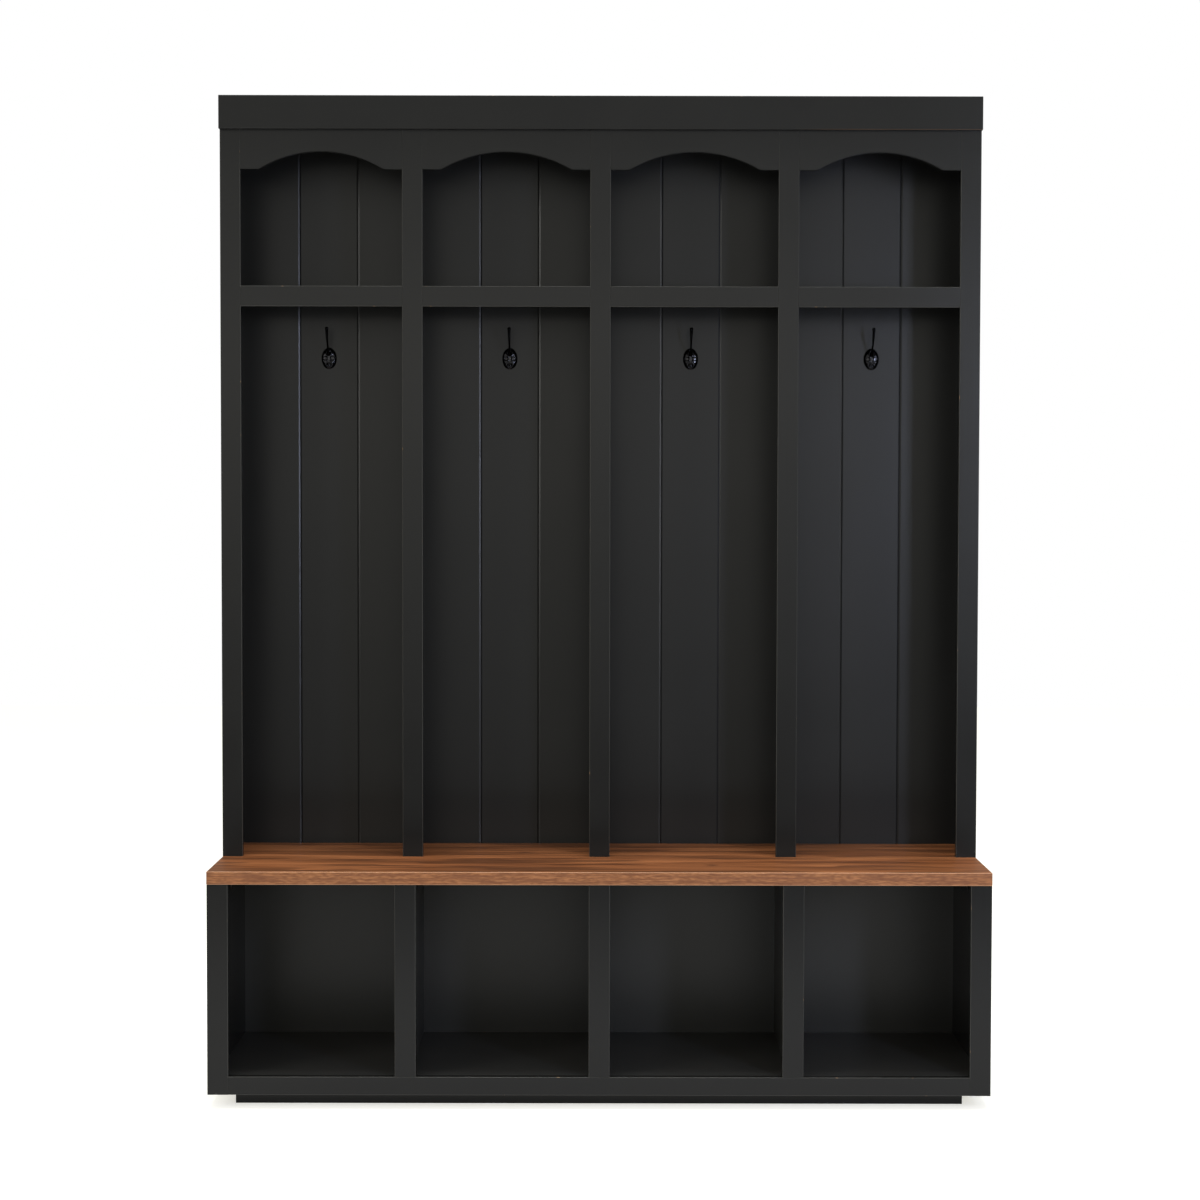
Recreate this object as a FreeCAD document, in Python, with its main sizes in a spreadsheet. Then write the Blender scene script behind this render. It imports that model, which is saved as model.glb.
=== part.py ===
import FreeCAD, Part
import os
import re
import Sketcher

# Hall tree of painted boards: a cubby base on a recessed plinth, a bench board, and a shallower hutch
# with grooved backs, cast coat hooks, shelves, arched aprons and a cornice.
# Millimetres, +Z up, the front faces -Y, the origin is on the floor under the middle of the bench.

SIZES = (
    ("overall_width", 1500, "outer faces of the two sides"),
    ("overall_depth", 400, "bench front to the back of the base"),
    ("overall_height", 1960, "floor to the top of the cornice"),
    ("seat_height", 458, "floor to the top of the bench"),
    ("hutch_depth", 200, "stile front to the back of the hutch"),
    ("panel_thickness", 15, "sides, partitions, shelves, bottom and top panel"),
    ("face_thickness", 15, "stiles, rails and aprons"),
    ("stile_width", 40, "face of a stile"),
    ("edge_ease", 0.8, "flat on the front arrises of stiles, rails and cornice"),
    ("housing_depth", 5, "groove that seats the end of a board"),
    ("plinth_clearance", 28, "floor to the lower edge of the sides"),
    ("plinth_thickness", 15, "plinth boards"),
    ("plinth_recess", 50, "plinth front behind the base stiles"),
    ("plinth_inset", 47, "plinth end inside the outer face of the side"),
    ("plinth_rear_recess", 30, "plinth back in front of the base back"),
    ("bottom_rail_height", 35, "rail under the cubbies"),
    ("base_back_thickness", 5, "flat back of the base"),
    ("bench_thickness", 25, "bench board"),
    ("bench_overhang", 3, "bench front before the base stiles"),
    ("bench_round", 1.5, "rounded arrises of the bench"),
    ("upper_cubby_height", 229, "shelf to the ends of the apron's arch"),
    ("shelf_rail_height", 40, "rail on the front of a shelf"),
    ("cornice_height", 65, "cornice board"),
    ("cornice_thickness", 15, "cornice board"),
    ("apron_drop", 77, "apron below the cornice at its ends"),
    ("arch_rise", 35, "crown of the arch above its ends"),
    ("arch_shoulder", 36, "straight part of an apron beside the arch"),
    ("hutch_back_thickness", 9, "grooved back panels"),
    ("back_seam", 0.5, "gap between neighbouring back panels"),
    ("back_recess", 1.5, "back panels inside the rear edges of the sides"),
    ("groove_pitch", 120, "distance between the two grooves of a panel"),
    ("groove_width", 6, "mouth of a groove"),
    ("groove_depth", 1.2, "bottom of a groove"),
    ("hook_drop", 131, "top of the shelves to the middle of the hook plates"),
    ("plate_width", 31, "oval hook plate"),
    ("plate_height", 44, "oval hook plate"),
    ("plate_thickness", 2.5, "rim of the hook plate"),
    ("plate_border", 2, "flat rim around the raised middle"),
    ("boss_height", 3.5, "raised middle above the rim"),
    ("boss_slope", 5, "width of the sloping ring around the raised middle"),
    ("petal_depth", 2.2, "hollows in the raised middle"),
    ("petal_length", 9, "hollow, along the plate's radius"),
    ("petal_width", 7, "hollow, across the plate's radius"),
    ("petal_margin", 3.5, "outer end of a hollow inside the plate's edge"),
    ("hook_reach", 45, "wall to the middle of the ball"),
    ("hook_rise", 58, "middle of the plate to the middle of the ball"),
    ("prong_bow", 9, "forward bulge of the prong"),
    ("prong_root", 6.4, "prong diameter at the plate"),
    ("prong_neck", 4.6, "least prong diameter"),
    ("prong_end", 6, "prong diameter below the ball"),
    ("ball_diameter", 7.5, "ball on the tip"),
    ("dowel_diameter", 8, "wood dowels"),
    ("dowel_length", 30, "wood dowels"),
    ("dowel_seat", 10, "part of a dowel or bolt that sits in the bench"),
    ("drill_clearance", 0.1, "room around a dowel, bolt or cam"),
    ("drill_end_room", 0.5, "room past the end of a dowel, bolt or cam"),
    ("base_fixing_inset", 60, "dowel from the edge of a base upright"),
    ("hutch_fixing_inset", 40, "dowel from the edge of a hutch upright"),
    ("cam_diameter", 15, "cam lock"),
    ("cam_floor", 2.5, "board left behind a cam lock"),
    ("cam_distance", 34, "bench face to the middle of a cam lock"),
    ("bolt_diameter", 6, "cam bolt"),
)

BAYS = 4
UPRIGHTS = range(BAYS + 1)
INNER = range(1, BAYS)

doc = FreeCAD.newDocument("hall_tree")
sheet = doc.addObject("Spreadsheet::Sheet", "Sizes")
for row, (alias, value, note) in enumerate(SIZES, start=1):
    sheet.set(f"A{row}", note)
    sheet.set(f"B{row}", str(value))
    sheet.setAlias(f"B{row}", alias)
doc.recompute()

ALIASES = {alias for alias, _, _ in SIZES}

# Places that several pieces share, as formulas on the sheet's names.
PITCH = f"((overall_width - panel_thickness) / {BAYS})"
SIDE_X = "(overall_width / 2)"
BENCH_FRONT = "(-overall_depth / 2)"
BASE_FRONT = "(-overall_depth / 2 + bench_overhang)"
BASE_PANEL_FRONT = f"({BASE_FRONT} + face_thickness)"
BACK = "(overall_depth / 2)"
PANELS_REAR = f"({BACK} - back_recess)"
BASE_PANEL_BACK = f"({PANELS_REAR} - base_back_thickness)"
HUTCH_FRONT = f"({BACK} - hutch_depth)"
HUTCH_PANEL_FRONT = f"({HUTCH_FRONT} + face_thickness)"
HUTCH_PANEL_BACK = f"({PANELS_REAR} - hutch_back_thickness)"
CUBBY_FLOOR = "(plinth_clearance + bottom_rail_height)"
BENCH_UNDERSIDE = "(seat_height - bench_thickness)"
TOP_UNDERSIDE = "(overall_height - panel_thickness)"
CORNICE_UNDERSIDE = "(overall_height - cornice_height)"
APRON_FOOT = f"({CORNICE_UNDERSIDE} - apron_drop)"
SHELF_TOP = f"({APRON_FOOT} - upper_cubby_height)"


def upright_x(index):
    """Middle plane of an upright, counted from the left side."""
    return f"(-{SIDE_X} + panel_thickness / 2 + {index} * {PITCH})"


def opening_edges(bay):
    """Left and right edge of the opening between two stiles."""
    left = f"(-{SIDE_X} + stile_width)" if bay == 0 else f"({upright_x(bay)} + stile_width / 2)"
    right = f"({SIDE_X} - stile_width)" if bay == BAYS - 1 else f"({upright_x(bay + 1)} - stile_width / 2)"
    return left, right


def span(start, end):
    return f"({end} - {start})"


def middle(start, end):
    return f"(({start} + {end}) / 2)"


def cells(formula):
    """The formula with the sheet's name before each of its aliases."""
    return re.sub(r"[a-z_]+", lambda word: "Sizes." * (word[0] in ALIASES) + word[0], formula)


def bind(thing, formulas):
    for path, formula in formulas.items():
        thing.setExpression(path, cells(formula))


def place(thing, x, y, z):
    bind(thing, {"Placement.Base.x": x, "Placement.Base.y": y, "Placement.Base.z": z})


pieces = []


def keep(thing, label):
    """Marks an object as a sub-part that is written to its own file."""
    thing.Label = label
    pieces.append(thing)
    return thing


def box(name, x, y, z):
    """Sawn board between two formulas on each axis."""
    board = doc.addObject("Part::Box", name)
    bind(board, {"Length": span(*x), "Width": span(*y), "Height": span(*z)})
    place(board, x[0], y[0], z[0])
    return board


def cut(name, blank, tools):
    """Board with grooves or bores taken out of it."""
    tool = tools[0]
    if len(tools) > 1:
        tool = doc.addObject("Part::Compound", f"{name}_tools")
        tool.Links = tools
    board = doc.addObject("Part::Cut", name)
    board.Base = blank
    board.Tool = tool
    return board


def new_body(name):
    return doc.addObject("PartDesign::Body", name)


def new_sketch(body, name, role):
    sketch = body.newObject("Sketcher::SketchObject", name)
    plane = next(feature for feature in body.Origin.OriginFeatures if feature.Role == role)
    sketch.AttachmentSupport = [(plane, "")]
    sketch.MapMode = "FlatFace"
    return sketch


def dimension(sketch, kind, where, formula, name):
    """Adds a driving constraint that follows a formula."""
    index = sketch.addConstraint(Sketcher.Constraint(kind, *where, number(formula)))
    sketch.renameConstraint(index, name)
    bind(sketch, {f"Constraints.{name}": formula})


def number(formula):
    """Present value of a formula, to start a constraint near its solution."""
    return float(sheet.evalExpression(cells(formula)))


def outline(sketch, corners, arch=None):
    """Closed outline through corners given as formulas.

    arch is (corner index, radius formula): the edge that leaves that corner is an arc, bulging up.
    """
    points = [FreeCAD.Vector(number(across), number(along), 0) for across, along in corners]
    count = len(points)
    for index, start in enumerate(points):
        end = points[(index + 1) % count]
        edge = Part.LineSegment(start, end)
        if arch and index == arch[0]:
            radius = number(arch[1])
            half = (end.x - start.x) / 2
            crown = start.y + radius - (radius**2 - half**2) ** 0.5
            edge = Part.Arc(start, FreeCAD.Vector(start.x + half, crown, 0), end)
        sketch.addGeometry(edge)
    # An arc runs anticlockwise, so one that bulges up over a left-to-right edge starts at its right end.
    ends = [(2, 1) if arch and index == arch[0] else (1, 2) for index in range(count)]
    for index in range(count):
        following = (index + 1) % count
        sketch.addConstraint(
            Sketcher.Constraint("Coincident", index, ends[index][1], following, ends[following][0]))
    for index, (across, along) in enumerate(corners):
        corner = (-1, 1, index, ends[index][0])
        dimension(sketch, "DistanceX", corner, across, f"across_{index}")
        dimension(sketch, "DistanceY", corner, along, f"along_{index}")
    if arch:
        dimension(sketch, "Radius", (arch[0],), arch[1], "arch_radius")


def pad(body, sketch, length):
    feature = body.newObject("PartDesign::Pad", f"{sketch.Name}_pad")
    feature.Profile = sketch
    bind(feature, {"Length": length})
    return feature


def eased_strip(name, width, thickness, length, lying=False):
    """Strip with eased front arrises, drawn as its cross-section: upright, or lying along X."""
    body = new_body(name)
    section = new_sketch(body, f"{name}_section", "XY_Plane")
    side = f"({width} / 2)"
    outline(section, (
        (f"-{side} + edge_ease", "0"),
        (f"{side} - edge_ease", "0"),
        (side, "edge_ease"),
        (side, thickness),
        (f"-{side}", thickness),
        (f"-{side}", "edge_ease"),
    ))
    pad(body, section, length)
    if lying:
        body.Placement.Rotation = FreeCAD.Rotation(FreeCAD.Vector(0, 1, 0), 90)
    return body


def stile(label, x, y, z):
    strip = eased_strip(label, "stile_width", "face_thickness", span(*z))
    place(strip, x, y, z[0])
    keep(strip, label)


def rail(label, x, y, z, thickness):
    strip = eased_strip(label, span(*z), thickness, span(*x), lying=True)
    place(strip, x[0], y, middle(*z))
    keep(strip, label)


def rebated_side(name, hand, y, z, shoulder):
    """Side panel whose inner back edge is rebated for the back, from the shoulder to the rear.

    hand is -1 on the left and 1 on the right.
    """
    body = new_body(name)
    section = new_sketch(body, f"{name}_section", "XY_Plane")
    outer, core, inner = (f"{hand} * ({SIDE_X} - {share} * panel_thickness)" for share in (0, 0.5, 1))
    outline(section, (
        (outer, y[0]),
        (inner, y[0]),
        (inner, shoulder),
        (core, shoulder),
        (core, y[1]),
        (outer, y[1]),
    ))
    pad(body, section, span(*z))
    place(body, "0", "0", z[0])
    return body


# Bores on the fixing lines. Each dowel or bolt bore is one tool, shared by the two boards that it joins.
bores = {}
dowel_places = []
bolt_places = []
cam_places = []


def rod(name, radius, length):
    """Hidden fastener or its bore, drawn with eight flats to keep the boards light."""
    prism = doc.addObject("Part::Prism", name)
    prism.Polygon = 8
    bind(prism, {"Circumradius": radius, "Height": length})
    return prism


def bore(name, diameter, length, boards):
    tool = rod(name, f"{diameter} / 2 + drill_clearance", length)
    for board in boards:
        bores.setdefault(board, []).append(tool)
    return tool


def axis_rotation(direction, across):
    """Rotation that turns +Z to the direction and +X to the other one."""
    return FreeCAD.Rotation(across, direction.cross(across), direction, "ZXY")


def fix_upright(upright, x, bench_face, up, places_y, inner_hand):
    """Two dowels and a cam fitting between the bench and the edge of an upright.

    up is 1 for an upright that stands on the bench, -1 for one below it. The cam sits in the face
    of the upright that looks to inner_hand along X.
    """
    rise = FreeCAD.Vector(0, 0, up)
    seat = f"{bench_face} - {up} * (dowel_seat + drill_end_room)"
    front, centre, rear = places_y
    for where, y in (("front", front), ("rear", rear)):
        hole = bore(f"{upright}_dowel_{where}", "dowel_diameter",
                    "dowel_length + 2 * drill_end_room", (upright, "bench_top"))
        hole.Placement.Rotation = axis_rotation(rise, FreeCAD.Vector(1, 0, 0))
        place(hole, x, y, seat)
        dowel_places.append({"Placement": f"{hole.Name}.Placement"})
    hole = bore(f"{upright}_bolt", "bolt_diameter",
                "dowel_seat + cam_distance + drill_end_room", (upright, "bench_top"))
    hole.Placement.Rotation = axis_rotation(rise, FreeCAD.Vector(1, 0, 0))
    place(hole, x, centre, seat)
    bolt_places.append({"Placement": f"{hole.Name}.Placement"})
    pocket = bore(f"{upright}_cam", "cam_diameter", "panel_thickness - cam_floor", (upright,))
    pocket.Placement.Rotation = axis_rotation(FreeCAD.Vector(-inner_hand, 0, 0), -rise)
    place(pocket, f"{x} + {inner_hand} * panel_thickness / 2", centre,
          f"{bench_face} + {up} * cam_distance")
    cam_places.append({"Placement": f"{pocket.Name}.Placement"})


def group(label, members):
    """One sub-part that holds several like solids."""
    bundle = doc.addObject("Part::Compound", f"{label}_bundle")
    bundle.Links = members
    keep(bundle, label)


def copies(label, pattern, places):
    """One sub-part with a copy of the pattern at each place, given as formulas for its placement."""
    members = []
    for index, where in enumerate(places, start=1):
        copy = doc.addObject("App::Link", f"{label}_{index}")
        copy.LinkedObject = pattern
        copy.LinkTransform = True
        bind(copy, where)
        members.append(copy)
    group(label, members)


def side_name(index):
    return {0: "left", BAYS: "right"}.get(index, str(index))


# Plinth: four boards and ribs below the partitions, all under the bottom panel.
plinth_top = f"({CUBBY_FLOOR} - panel_thickness)"
plinth_left = f"(-{SIDE_X} + plinth_inset)"
plinth_right = f"({SIDE_X} - plinth_inset)"
plinth_front = f"({BASE_FRONT} + plinth_recess)"
plinth_back = f"({BACK} - plinth_rear_recess)"
plinth_inside = (f"({plinth_front} + plinth_thickness)", f"({plinth_back} - plinth_thickness)")
plinth_z = ("0", plinth_top)
keep(box("plinth_front_board", (plinth_left, plinth_right), (plinth_front, plinth_inside[0]), plinth_z),
     "plinth_front")
keep(box("plinth_back_board", (plinth_left, plinth_right), (plinth_inside[1], plinth_back), plinth_z),
     "plinth_back")
keep(box("plinth_left_board", (plinth_left, f"({plinth_left} + plinth_thickness)"), plinth_inside,
         plinth_z), "plinth_side_left")
keep(box("plinth_right_board", (f"({plinth_right} - plinth_thickness)", plinth_right), plinth_inside,
         plinth_z), "plinth_side_right")
group("plinth_ribs", [
    box(f"rib_{index}", (f"({upright_x(index)} - plinth_thickness / 2)",
                         f"({upright_x(index)} + plinth_thickness / 2)"), plinth_inside, plinth_z)
    for index in INNER
])

# Base: sides rebated for the back, a bottom panel housed in them, and partitions housed in the bottom.
base_panel_y = (BASE_PANEL_FRONT, BASE_PANEL_BACK)
base_side_z = ("plinth_clearance", BENCH_UNDERSIDE)
bottom_z = (plinth_top, CUBBY_FLOOR)
housed_side = f"({SIDE_X} - panel_thickness + housing_depth)"
bottom_blank = box("bottom_board", (f"(-{housed_side})", housed_side), base_panel_y, bottom_z)
partition_foot = f"({CUBBY_FLOOR} - housing_depth)"
partitions = [
    box(f"base_partition_{index}_board", (f"({upright_x(index)} - panel_thickness / 2)",
                                          f"({upright_x(index)} + panel_thickness / 2)"),
        base_panel_y, (partition_foot, BENCH_UNDERSIDE))
    for index in INNER
]
keep(cut("bottom_housed", bottom_blank, partitions), "base_bottom_panel")
base_blanks = {f"base_partition_{index}": board for index, board in zip(INNER, partitions)}
for hand, side in ((-1, "left"), (1, "right")):
    blank = rebated_side(f"base_side_{side}_board", hand, (BASE_PANEL_FRONT, BACK), base_side_z,
                         BASE_PANEL_BACK)
    base_blanks[f"base_side_{side}"] = cut(f"base_side_{side}_housed", blank, [bottom_blank])
base_y = (f"{BASE_PANEL_FRONT} + base_fixing_inset", middle(*base_panel_y),
          f"{BASE_PANEL_BACK} - base_fixing_inset")
for index in UPRIGHTS:
    name = f"base_side_{side_name(index)}" if index in (0, BAYS) else f"base_partition_{index}"
    fix_upright(name, upright_x(index), BENCH_UNDERSIDE, -1, base_y, -1 if index == BAYS else 1)
for name, blank in base_blanks.items():
    keep(cut(f"{name}_bored", blank, bores[name]), name)
for side, first, last in (("left", 0, BAYS // 2), ("right", BAYS // 2, BAYS)):
    keep(box(f"base_back_{side}_board", (f"({upright_x(first)} + back_seam / 2)",
                                         f"({upright_x(last)} - back_seam / 2)"),
             (BASE_PANEL_BACK, PANELS_REAR), base_side_z), f"base_back_panel_{side}")

# Face of the base: the outer stiles run down past the bottom rail, the inner stiles stand on it.
for index in UPRIGHTS:
    if index in (0, BAYS):
        hand = -1 if index == 0 else 1
        stile(f"base_stile_{side_name(index)}", f"{hand} * ({SIDE_X} - stile_width / 2)", BASE_FRONT,
              base_side_z)
    else:
        stile(f"base_stile_{index}", upright_x(index), BASE_FRONT, (CUBBY_FLOOR, BENCH_UNDERSIDE))
rail("base_bottom_rail", (opening_edges(0)[0], opening_edges(BAYS - 1)[1]), BASE_FRONT,
     ("plinth_clearance", CUBBY_FLOOR), "face_thickness")

# Bench: one thick board with rounded front and end arrises.
bench = new_body("bench_board")
bench_plan = new_sketch(bench, "bench_plan", "XY_Plane")
outline(bench_plan, (
    (f"-{SIDE_X}", BENCH_FRONT),
    (SIDE_X, BENCH_FRONT),
    (SIDE_X, BACK),
    (f"-{SIDE_X}", BACK),
))
bench_pad = pad(bench, bench_plan, "bench_thickness")
doc.recompute()


def edges_where(shape, test):
    """Names of the edges whose centre passes the test."""
    return [f"Edge{index}" for index, edge in enumerate(shape.Edges, start=1) if test(edge.CenterOfMass)]


bench_rear = number(BACK)
arrises = bench.newObject("PartDesign::Fillet", "bench_arrises")
arrises.Base = (bench_pad, edges_where(bench_pad.Shape, lambda centre: centre.y < bench_rear))
bind(arrises, {"Radius": "bench_round"})
place(bench, "0", "0", BENCH_UNDERSIDE)

# Hutch uprights: rebated sides and partitions that carry the shelves in housings on both faces.
hutch_z = ("seat_height", f"({TOP_UNDERSIDE} + housing_depth)")
hutch_panel_y = (HUTCH_PANEL_FRONT, HUTCH_PANEL_BACK)
shelf_z = (f"({SHELF_TOP} - panel_thickness)", SHELF_TOP)
reach = "(panel_thickness / 2 - housing_depth)"
shelves = []
for bay in range(BAYS):
    shelf_x = (f"({upright_x(bay)} + {reach})", f"({upright_x(bay + 1)} - {reach})")
    shelf = box(f"shelf_{bay + 1}_board", shelf_x, hutch_panel_y, shelf_z)
    shelves.append(keep(shelf, f"shelf_{bay + 1}"))
hutch_blanks = {}
for index in UPRIGHTS:
    if index in (0, BAYS):
        name = f"hutch_side_{side_name(index)}"
        hand = -1 if index == 0 else 1
        hutch_blanks[name] = rebated_side(f"{name}_board", hand, (HUTCH_PANEL_FRONT, BACK), hutch_z,
                                          HUTCH_PANEL_BACK)
    else:
        name = f"hutch_partition_{index}"
        hutch_blanks[name] = box(f"{name}_board", (f"({upright_x(index)} - panel_thickness / 2)",
                                                   f"({upright_x(index)} + panel_thickness / 2)"),
                                 hutch_panel_y, hutch_z)
    bores[name] = shelves[max(index - 1, 0):index + 1]
hutch_y = (f"{HUTCH_PANEL_FRONT} + hutch_fixing_inset", middle(*hutch_panel_y),
           f"{HUTCH_PANEL_BACK} - hutch_fixing_inset")
for index, name in enumerate(hutch_blanks):
    fix_upright(name, upright_x(index), "seat_height", 1, hutch_y, -1 if index == BAYS else 1)
for name, blank in hutch_blanks.items():
    keep(cut(f"{name}_bored", blank, bores[name]), name)
keep(cut("bench_bored", bench, bores["bench_top"]), "bench_top")

# Face of the hutch: stiles up to the top panel, and a rail on the shelf and an arched apron in each bay.
shelf_rail_z = (f"({SHELF_TOP} - shelf_rail_height)", SHELF_TOP)
for index in UPRIGHTS:
    edge_x = {0: f"-({SIDE_X} - stile_width / 2)", BAYS: f"({SIDE_X} - stile_width / 2)"}
    stile(f"hutch_stile_{side_name(index)}", edge_x.get(index, upright_x(index)), HUTCH_FRONT,
          ("seat_height", TOP_UNDERSIDE))
for bay in range(BAYS):
    opening = opening_edges(bay)
    rail(f"shelf_rail_{bay + 1}", opening, HUTCH_FRONT, shelf_rail_z, "face_thickness")
    apron = new_body(f"apron_{bay + 1}")
    face = new_sketch(apron, f"apron_{bay + 1}_face", "XZ_Plane")
    half = f"({span(*opening)} / 2)"
    chord = f"({half} - arch_shoulder)"
    apron_top = span(APRON_FOOT, TOP_UNDERSIDE)
    outline(face, (
        (f"-{half}", "0"),
        (f"-{chord}", "0"),
        (chord, "0"),
        (half, "0"),
        (half, apron_top),
        (f"-{half}", apron_top),
    ), arch=(1, f"({chord}^2 + arch_rise^2) / (2 * arch_rise)"))
    pad(apron, face, "face_thickness")
    place(apron, middle(*opening), HUTCH_PANEL_FRONT, APRON_FOOT)
    keep(apron, f"apron_{bay + 1}")

# Top panel over the uprights, which are housed in it, and the cornice on its front edge.
top_blank = box("top_board", (f"(-{SIDE_X})", SIDE_X), (HUTCH_FRONT, BACK),
                (TOP_UNDERSIDE, "overall_height"))
keep(cut("top_housed", top_blank, list(hutch_blanks.values())), "top_panel")
rail("cornice", (f"(-{SIDE_X})", SIDE_X), f"({HUTCH_FRONT} - cornice_thickness)",
     (CORNICE_UNDERSIDE, "overall_height"), "cornice_thickness")

# Grooved back panels, one behind each bay, meeting behind the middle of the partitions.
for bay in range(BAYS):
    panel = new_body(f"hutch_back_panel_{bay + 1}")
    section = new_sketch(panel, f"hutch_back_{bay + 1}_section", "XY_Plane")
    half = f"({PITCH} / 2 - back_seam / 2)"
    near = "(groove_pitch / 2 - groove_width / 2)"
    far = "(groove_pitch / 2 + groove_width / 2)"
    outline(section, (
        (f"-{half}", "0"),
        (f"-{far}", "0"),
        ("-groove_pitch / 2", "groove_depth"),
        (f"-{near}", "0"),
        (near, "0"),
        ("groove_pitch / 2", "groove_depth"),
        (far, "0"),
        (half, "0"),
        (half, "hutch_back_thickness"),
        (f"-{half}", "hutch_back_thickness"),
    ))
    pad(panel, section, span("seat_height", TOP_UNDERSIDE))
    place(panel, middle(upright_x(bay), upright_x(bay + 1)), HUTCH_PANEL_BACK, "seat_height")
    keep(panel, f"hutch_back_panel_{bay + 1}")


# Cast coat hook: an oval plate with a raised middle that has four petal hollows, and a prong with a ball.
def oval(sketch, width, height, x="0", y="0", name="oval"):
    """Ellipse that stands upright in the sketch when it is taller than wide."""
    centre = FreeCAD.Vector(number(x), number(y), 0)
    tall = number(height) >= number(width)
    reach_x = FreeCAD.Vector(number(width) / 2, 0, 0)
    reach_y = FreeCAD.Vector(0, number(height) / 2, 0)
    major, minor = (reach_y, reach_x) if tall else (reach_x, reach_y)
    index = sketch.GeometryCount
    sketch.addGeometry(Part.Ellipse(centre + major, centre + minor, centre))
    sketch.exposeInternalGeometry(index)
    sketch.addConstraint(Sketcher.Constraint("Vertical" if tall else "Horizontal", index + 1))
    dimension(sketch, "DistanceX", (-1, 1, index, 3), x, f"{name}_x")
    dimension(sketch, "DistanceY", (-1, 1, index, 3), y, f"{name}_y")
    dimension(sketch, "Distance", (index + 1,), height if tall else width, f"{name}_major")
    dimension(sketch, "Distance", (index + 2,), width if tall else height, f"{name}_minor")


hook = new_body("hook_pattern")
plate_outline = new_sketch(hook, "plate_outline", "XZ_Plane")
oval(plate_outline, "plate_width", "plate_height")
pad(hook, plate_outline, "plate_thickness")

boss_rings = []
for name, depth, inset in (("boss_foot", "plate_thickness", "plate_border"),
                           ("boss_top", "plate_thickness + boss_height", "plate_border + boss_slope")):
    ring = new_sketch(hook, name, "XZ_Plane")
    bind(ring, {"AttachmentOffset.Base.z": depth})
    oval(ring, f"plate_width - 2 * ({inset})", f"plate_height - 2 * ({inset})")
    boss_rings.append(ring)
boss = hook.newObject("PartDesign::AdditiveLoft", "boss")
boss.Profile = boss_rings[0]
boss.Sections = boss_rings[1:]
boss.Ruled = True

petals = new_sketch(hook, "petals", "XZ_Plane")
bind(petals, {"AttachmentOffset.Base.z": "plate_thickness + boss_height"})
for name, x, y in (("east", 1, 0), ("west", -1, 0), ("north", 0, 1), ("south", 0, -1)):
    size = "plate_width" if x else "plate_height"
    out = f"({size} / 2 - petal_margin - petal_length / 2)"
    along, across = ("petal_length", "petal_width") if x else ("petal_width", "petal_length")
    oval(petals, along, across, f"{x} * {out}", f"{y} * {out}", name)
hollows = hook.newObject("PartDesign::Pocket", "petal_hollows")
hollows.Profile = petals
bind(hollows, {"Length": "petal_depth"})
doc.recompute()
assert hollows.Shape.Volume < boss.Shape.Volume, "the petal hollows cut nothing"

root_depth = "(plate_thickness + boss_height)"
prong_run = f"(hook_reach - {root_depth})"
lean = f"atan({prong_run} / hook_rise)"
bend = f"atan(4 * prong_bow / sqrt({prong_run}^2 + hook_rise^2))"
root = new_sketch(hook, "prong_root_ring", "XZ_Plane")
bind(root, {"AttachmentOffset.Base.z": root_depth})
rings = [(root, "prong_root")]
prong_stations = (
    (0.25, "prong_neck"),
    (0.5, "prong_neck"),
    (0.75, "(prong_neck + prong_end) / 2"),
    (1, "prong_end"),
)
for share, diameter in prong_stations:
    ring = new_sketch(hook, f"prong_ring_{round(100 * share)}", "XY_Plane")
    bulge = 4 * share * (1 - share)
    ring.AttachmentOffset.Rotation = FreeCAD.Rotation(FreeCAD.Vector(1, 0, 0), number(lean))
    bind(ring, {
        "AttachmentOffset.Base.y": f"-({root_depth} + {share} * {prong_run} + {bulge} * prong_bow)",
        "AttachmentOffset.Base.z": f"{share} * hook_rise",
        "AttachmentOffset.Rotation.Angle": f"{lean} + {1 - 2 * share} * {bend}",
    })
    rings.append((ring, diameter))
for ring, diameter in rings:
    ring.addGeometry(Part.Circle(FreeCAD.Vector(), FreeCAD.Vector(0, 0, 1), number(diameter) / 2))
    ring.addConstraint(Sketcher.Constraint("Coincident", 0, 3, -1, 1))
    dimension(ring, "Diameter", (0,), diameter, "diameter")
prong = hook.newObject("PartDesign::AdditiveLoft", "prong")
prong.Profile = root
prong.Sections = [ring for ring, _ in rings[1:]]
prong.Ruled = True
ball = hook.newObject("PartDesign::AdditiveSphere", "ball")
bind(ball, {
    "Radius": "ball_diameter / 2",
    "Placement.Base.y": "-hook_reach",
    "Placement.Base.z": "hook_rise",
})

# Patterns of the hidden fasteners, each drawn along +Z from where its bore starts.
dowel = rod("dowel_pattern", "dowel_diameter / 2", "dowel_length")
bolt = rod("bolt_pattern", "bolt_diameter / 2", "dowel_seat + cam_distance - cam_diameter / 2")
for pin in (dowel, bolt):
    place(pin, "0", "0", "drill_end_room")
cam = rod("cam_pattern", "cam_diameter / 2", "panel_thickness - cam_floor - drill_end_room")
copies("wood_dowels", dowel, dowel_places)
copies("cam_bolts", bolt, bolt_places)
copies("cam_locks", cam, cam_places)
copies("coat_hooks", hook, [
    {
        "Placement.Base.x": middle(upright_x(bay), upright_x(bay + 1)),
        "Placement.Base.y": HUTCH_PANEL_BACK,
        "Placement.Base.z": f"{SHELF_TOP} - hook_drop",
    }
    for bay in range(BAYS)
])

doc.recompute()
for thing in doc.Objects:
    if "Invalid" in thing.State or "Error" in thing.State:
        raise RuntimeError(f"{thing.Label} failed: {thing.State}")
for piece in pieces:
    if piece.Shape.isNull() or not piece.Shape.isValid():
        raise RuntimeError(f"{piece.Label} has no valid shape")

os.makedirs("parts", exist_ok=True)
for piece in pieces:
    piece.Shape.exportStep(f"parts/{piece.Label}.step")
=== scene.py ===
import math

import bmesh
import bpy
from mathutils import Matrix, Vector


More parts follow.
